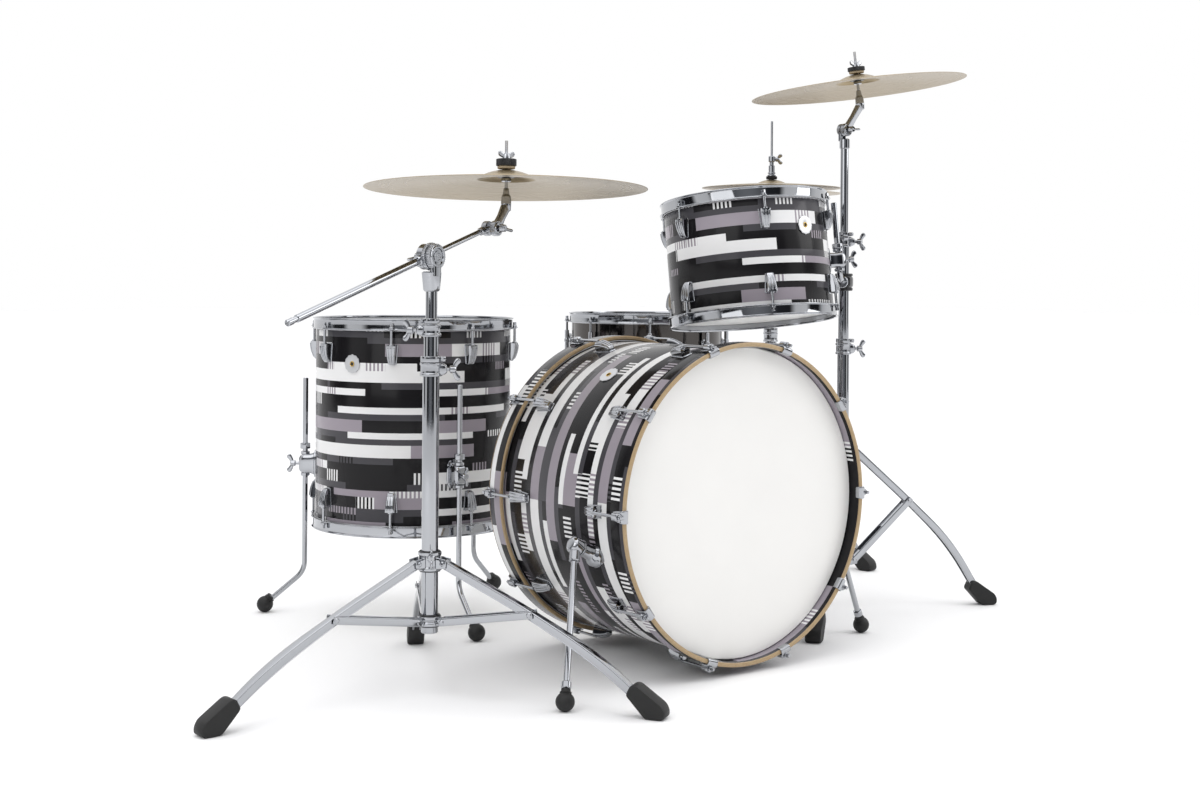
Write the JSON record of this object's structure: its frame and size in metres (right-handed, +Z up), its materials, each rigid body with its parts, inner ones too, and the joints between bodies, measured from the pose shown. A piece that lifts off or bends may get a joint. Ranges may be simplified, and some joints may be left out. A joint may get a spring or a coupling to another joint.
{
  "type": "acoustic drum kit",
  "caption": "Acoustic drum kit with bass drum, floor tom, rack tom, snare, hi-hat, ride and crash on folding chrome stands.",
  "frame": {"origin": "floor level, under the centre of the kit's bounding box", "axes": "+Z up; the bass drum's front head faces -Y and the player sits on the +Y side; +X runs across the kit towards the hi-hat"},
  "size_m": [2.125, 1.3944, 1.1968],
  "materials": {
    "chrome": "polished chrome plate",
    "wrap": "glossy striped wrap in black, greys and white over maple ply",
    "hoop_wrap": "maple hoop, striped wrap on its faces, natural front edge",
    "mylar": "coated and smooth white polyester film",
    "bronze": "lathed bronze",
    "black_nickel": "black nickel plated brass",
    "black_plastic": "black nylon and felt"
  },
  "bodies": {
    "kit": {"bass_shell": "wrap", "bass_front_head": "mylar", "bass_front_hoop": "hoop_wrap", "bass_rear_head": "mylar", "bass_rear_hoop": "hoop_wrap", "floor_tom_shell": "wrap", "floor_tom_top_head": "mylar", "floor_tom_top_hoop": "chrome", "floor_tom_bottom_head": "mylar", "floor_tom_bottom_hoop": "chrome", "boom_stand_base": "chrome", "straight_stand_tripod": "chrome", "hi_hat_tripod": "chrome", "snare_stand_tripod": "chrome"},
    "spur_left": {"spur_left": "chrome"},
    "spur_right": {"spur_right": "chrome"},
    "floor_tom_leg_1": {"floor_tom_leg_1": "chrome"},
    "floor_tom_leg_2": {"floor_tom_leg_2": "chrome"},
    "floor_tom_leg_3": {"floor_tom_leg_3": "chrome"},
    "boom_stand_hub": {"boom_stand_hub": "chrome"},
    "boom_leg_1": {"boom_stand_leg_1": "chrome"},
    "boom_brace_1": {"boom_stand_brace_1": "chrome"},
    "boom_leg_2": {"boom_stand_leg_2": "chrome"},
    "boom_brace_2": {"boom_stand_brace_2": "chrome"},
    "boom_leg_3": {"boom_stand_leg_3": "chrome"},
    "boom_brace_3": {"boom_stand_brace_3": "chrome"},
    "boom_middle_tube": {"boom_stand_middle_tube": "chrome"},
    "boom_top_tube": {"boom_stand_top_tube": "chrome"},
    "boom_clamp": {"boom_clamp": "chrome"},
    "boom": {"boom_rod": "chrome"},
    "ride_tilter": {"ride_tilter": "chrome"},
    "ride_cymbal": {"ride_cymbal": "bronze"},
    "ride_nut": {"ride_nut": "black_plastic"},
    "straight_middle_tube": {"straight_stand_middle_tube": "chrome", "tom_clamp": "black_plastic"},
    "straight_top_tube": {"straight_stand_top_tube": "chrome"},
    "crash_tilter": {"crash_tilter": "chrome"},
    "crash_cymbal": {"crash_cymbal": "bronze"},
    "crash_nut": {"crash_nut": "black_plastic"},
    "rack_tom": {"tom_arm": "chrome", "rack_tom_shell": "wrap", "rack_tom_top_head": "mylar", "rack_tom_top_hoop": "chrome", "rack_tom_bottom_head": "mylar", "rack_tom_bottom_hoop": "chrome"},
    "hi_hat_tube": {"hi_hat_tube": "chrome", "hi_hat_bottom_cymbal": "bronze"},
    "hi_hat_rod": {"hi_hat_rod": "chrome", "hi_hat_top_cymbal": "bronze"},
    "hi_hat_pedal": {"hi_hat_pedal": "chrome"},
    "snare_tube": {"snare_stand_tube": "chrome"},
    "snare_drum": {"snare_basket": "chrome", "snare_wires": "chrome", "snare_shell": "black_nickel", "snare_top_head": "mylar", "snare_top_hoop": "chrome", "snare_bottom_head": "mylar", "snare_bottom_hoop": "chrome"},
    "snare_lever": {"snare_lever": "chrome"}
  },
  "joints": [
    {"name": "spur_left_fold", "type": "hinge", "parent": "kit", "child": "spur_left", "pos_m": [-0.40814, -0.43285, 0.2453], "axis": [-0.9063, 0, 0.4226], "range_deg": [0, 8]},
    {"name": "spur_right_fold", "type": "hinge", "parent": "kit", "child": "spur_right", "pos_m": [0.21905, -0.43285, 0.2453], "axis": [-0.9063, 0, -0.4226], "range_deg": [0, 90]},
    {"name": "floor_tom_leg_1_slide", "type": "slide", "parent": "kit", "child": "floor_tom_leg_1", "axis": [0, 0, 1], "range_m": [-0.1, 0]},
    {"name": "floor_tom_leg_2_slide", "type": "slide", "parent": "kit", "child": "floor_tom_leg_2", "axis": [0, 0, 1], "range_m": [-0.1, 0]},
    {"name": "floor_tom_leg_3_slide", "type": "slide", "parent": "kit", "child": "floor_tom_leg_3", "axis": [0, 0, 1], "range_m": [-0.1, 0]},
    {"name": "boom_stand_hub_slide", "type": "slide", "parent": "kit", "child": "boom_stand_hub", "axis": [0, 0, 1], "range_m": [0, 0.08]},
    {"name": "boom_leg_1_fold", "type": "hinge", "parent": "boom_stand_hub", "child": "boom_leg_1", "pos_m": [-0.66523, -0.32923, 0.225], "axis": [0.0349, -0.9994, 0], "range_deg": [0, 13.4]},
    {"name": "boom_brace_1_fold", "type": "hinge", "parent": "kit", "child": "boom_brace_1", "pos_m": [-0.66523, -0.32923, 0.127], "axis": [-0.0349, 0.9994, 0], "range_deg": [0, 19.8]},
    {"name": "boom_leg_2_fold", "type": "hinge", "parent": "boom_stand_hub", "child": "boom_leg_2", "pos_m": [-0.62241, -0.352, 0.225], "axis": [0.848, 0.5299, 0], "range_deg": [0, 13.4]},
    {"name": "boom_brace_2_fold", "type": "hinge", "parent": "kit", "child": "boom_brace_2", "pos_m": [-0.62241, -0.352, 0.127], "axis": [-0.848, -0.5299, 0], "range_deg": [0, 19.8]},
    {"name": "boom_leg_3_fold", "type": "hinge", "parent": "boom_stand_hub", "child": "boom_leg_3", "pos_m": [-0.6241, -0.30353, 0.225], "axis": [-0.8829, 0.4695, 0], "range_deg": [0, 13.4]},
    {"name": "boom_brace_3_fold", "type": "hinge", "parent": "kit", "child": "boom_brace_3", "pos_m": [-0.6241, -0.30353, 0.127], "axis": [0.8829, -0.4695, 0], "range_deg": [0, 19.8]},
    {"name": "boom_middle_tube_slide", "type": "slide", "parent": "kit", "child": "boom_middle_tube", "axis": [0, 0, 1], "range_m": [0, 0.12]},
    {"name": "boom_top_tube_slide", "type": "slide", "parent": "boom_middle_tube", "child": "boom_top_tube", "axis": [0, 0, 1], "range_m": [0, 0.1]},
    {"name": "boom_tilt", "type": "hinge", "parent": "boom_top_tube", "child": "boom_clamp", "pos_m": [-0.63724, -0.32825, 0.742], "axis": [-0.3156, 0.9489, 0], "range_deg": [-25, 20]},
    {"name": "boom_reach", "type": "slide", "parent": "boom_clamp", "child": "boom", "axis": [0.9035, 0.3005, 0.3057], "range_m": [-0.1, 0]},
    {"name": "ride_tilt", "type": "hinge", "parent": "boom", "child": "ride_tilter", "pos_m": [-0.48469, -0.26802, 0.79458], "axis": [-0.3156, 0.9489, 0], "range_deg": [-15, 20]},
    {"name": "ride_cymbal_rock", "type": "hinge", "parent": "ride_tilter", "child": "ride_cymbal", "pos_m": [-0.44375, -0.26682, 0.90097], "axis": [-0.7932, 0.6089, 0], "range_deg": [-4, 4], "stiffness_Nm_per_rad": 12},
    {"name": "ride_nut_turn", "type": "hinge", "parent": "ride_tilter", "child": "ride_nut", "pos_m": [-0.44314, -0.26603, 0.92696], "axis": [0.0234, 0.0304, 0.9993], "continuous": true},
    {"name": "straight_middle_tube_slide", "type": "slide", "parent": "kit", "child": "straight_middle_tube", "axis": [0, 0, 1], "range_m": [0, 0.12]},
    {"name": "straight_top_tube_slide", "type": "slide", "parent": "straight_middle_tube", "child": "straight_top_tube", "axis": [0, 0, 1], "range_m": [0, 0.12]},
    {"name": "crash_tilt", "type": "hinge", "parent": "straight_top_tube", "child": "crash_tilter", "pos_m": [0.46146, -0.22585, 1.029], "axis": [0, 1, 0], "range_deg": [-15, 15]},
    {"name": "crash_cymbal_rock", "type": "hinge", "parent": "crash_tilter", "child": "crash_cymbal", "pos_m": [0.48163, -0.24068, 1.1488], "axis": [-0.7883, 0.6051, -0.1115], "range_deg": [-4, 4], "stiffness_Nm_per_rad": 12},
    {"name": "crash_nut_turn", "type": "hinge", "parent": "crash_tilter", "child": "crash_nut", "pos_m": [0.47959, -0.23912, 1.17166], "axis": [-0.0884, 0.0679, 0.9938], "continuous": true},
    {"name": "rack_tom_tilt", "type": "hinge", "parent": "straight_middle_tube", "child": "rack_tom", "pos_m": [0.43857, -0.24447, 0.703], "axis": [-0.7757, -0.6311, 0], "range_deg": [-10, 10]},
    {"name": "hi_hat_tube_slide", "type": "slide", "parent": "kit", "child": "hi_hat_tube", "axis": [0, 0, 1], "range_m": [0, 0.1]},
    {"name": "hi_hat_rod_slide", "type": "slide", "parent": "hi_hat_tube", "child": "hi_hat_rod", "axis": [0, 0, 1], "range_m": [-0.01, 0], "stiffness_N_per_m": 1500, "springref_m": 0.03},
    {"name": "hi_hat_pedal_press", "type": "hinge", "parent": "kit", "child": "hi_hat_pedal", "pos_m": [0.7632, 0.63917, 0.016], "axis": [0.9848, 0.1736, 0], "range_deg": [0, 2.1]},
    {"name": "snare_tube_slide", "type": "slide", "parent": "kit", "child": "snare_tube", "axis": [0, 0, 1], "range_m": [0, 0.1]},
    {"name": "snare_basket_tilt", "type": "hinge", "parent": "snare_tube", "child": "snare_drum", "pos_m": [0.36246, 0.32015, 0.39], "axis": [0, 1, 0], "range_deg": [-10, 10]},
    {"name": "snare_throw_off", "type": "hinge", "parent": "snare_drum", "child": "snare_lever", "pos_m": [0.26505, 0.48885, 0.5205], "axis": [-0.866, -0.5, 0], "range_deg": [0, 90]}
  ],
  "couplings": [
    {"joint": "boom_leg_1_fold", "follows": "boom_stand_hub_slide", "rad_per_m": 2.8856},
    {"joint": "boom_brace_1_fold", "follows": "boom_stand_hub_slide", "rad_per_m": 4.2586},
    {"joint": "boom_leg_2_fold", "follows": "boom_stand_hub_slide", "rad_per_m": 2.8856},
    {"joint": "boom_brace_2_fold", "follows": "boom_stand_hub_slide", "rad_per_m": 4.2586},
    {"joint": "boom_leg_3_fold", "follows": "boom_stand_hub_slide", "rad_per_m": 2.8856},
    {"joint": "boom_brace_3_fold", "follows": "boom_stand_hub_slide", "rad_per_m": 4.2586},
    {"joint": "hi_hat_rod_slide", "follows": "hi_hat_pedal_press", "m_per_rad": -0.27}
  ]
}
